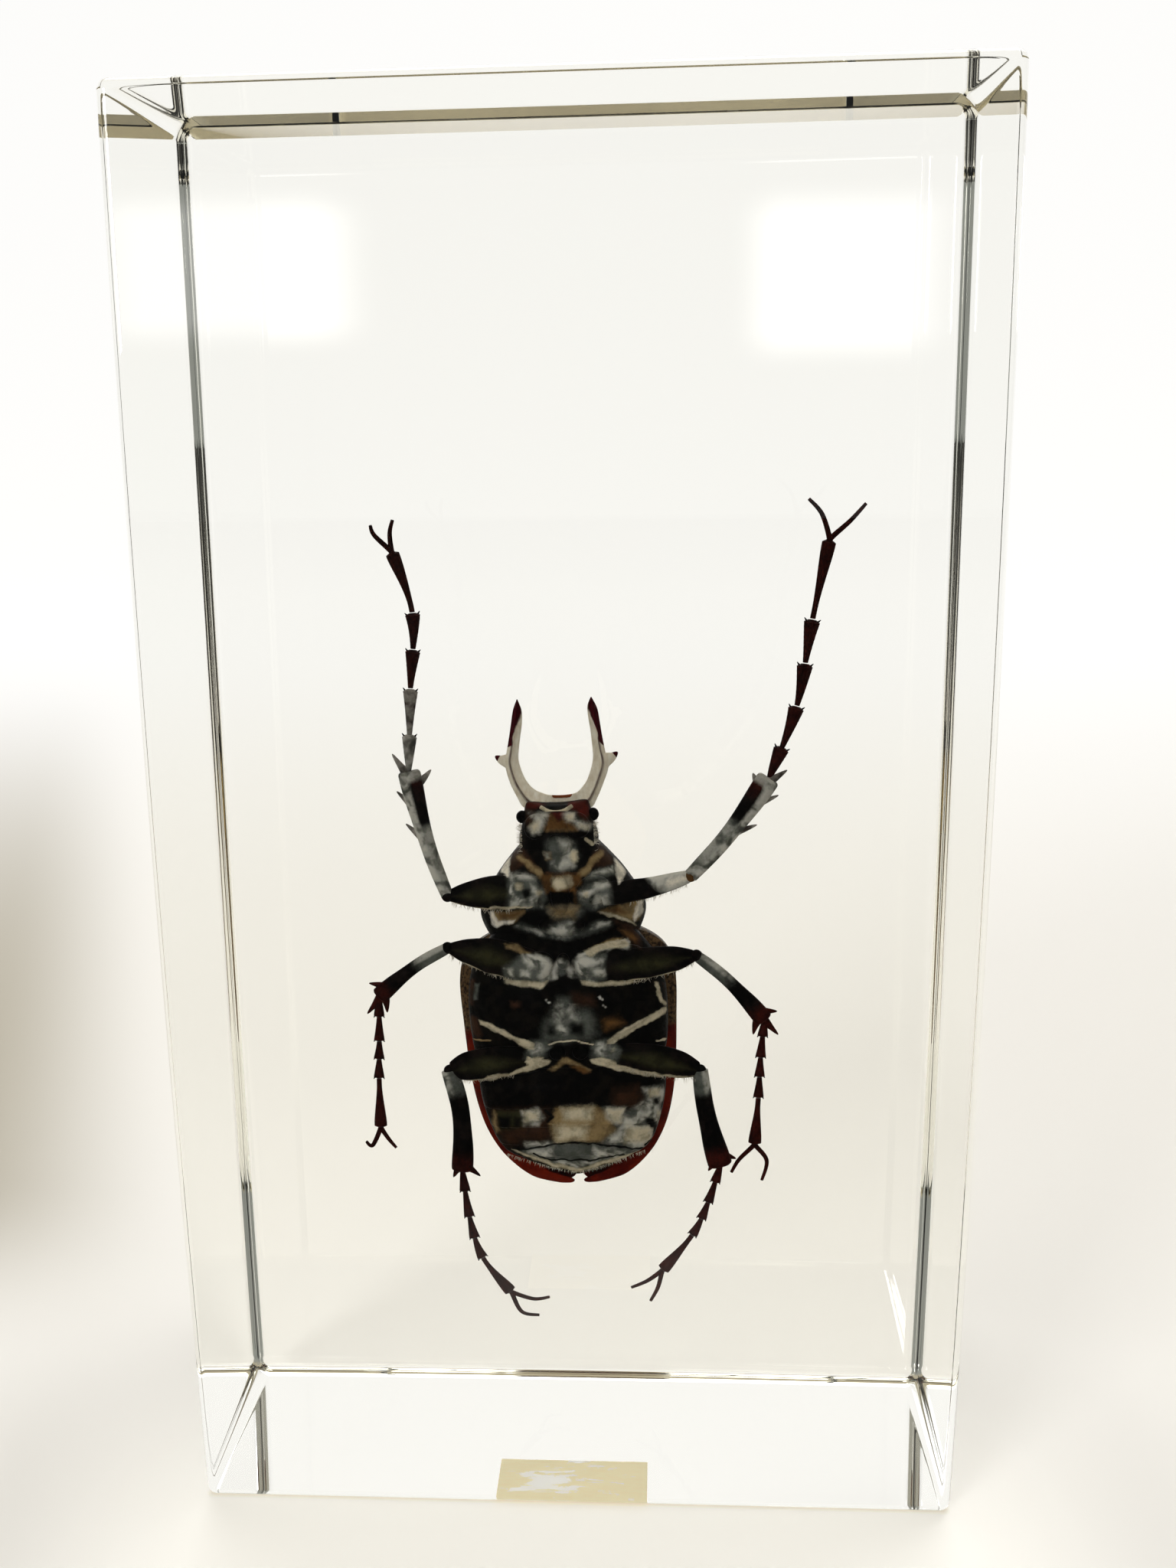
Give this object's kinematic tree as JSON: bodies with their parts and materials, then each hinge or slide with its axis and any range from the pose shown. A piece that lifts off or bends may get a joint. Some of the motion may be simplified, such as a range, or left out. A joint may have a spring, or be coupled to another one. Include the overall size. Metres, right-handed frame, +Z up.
{
  "type": "insect in resin block",
  "caption": "Clear upright resin block with a horned flower chafer sealed inside, underside to the front, and a blank paper sticker under its front edge.",
  "frame": {"origin": "middle of the block's bottom, on the surface that it stands on", "axes": "+Z up along the block's long side, towards the insect's head; -Y is the front, which the insect's underside faces; +X is to the right seen from the front"},
  "size_m": [0.05, 0.026, 0.0885],
  "materials": {
    "resin": "clear cast resin, polished, faint yellow cast",
    "cuticle": "dried beetle cuticle, black to red brown with pale joints",
    "label_paper": "blank adhesive paper, khaki, seen through the resin with pale gaps in the glue"
  },
  "bodies": {
    "root": {"resin_front_half": "resin", "resin_back_half": "resin", "beetle": "cuticle", "label": "label_paper"}
  },
  "joints": []
}
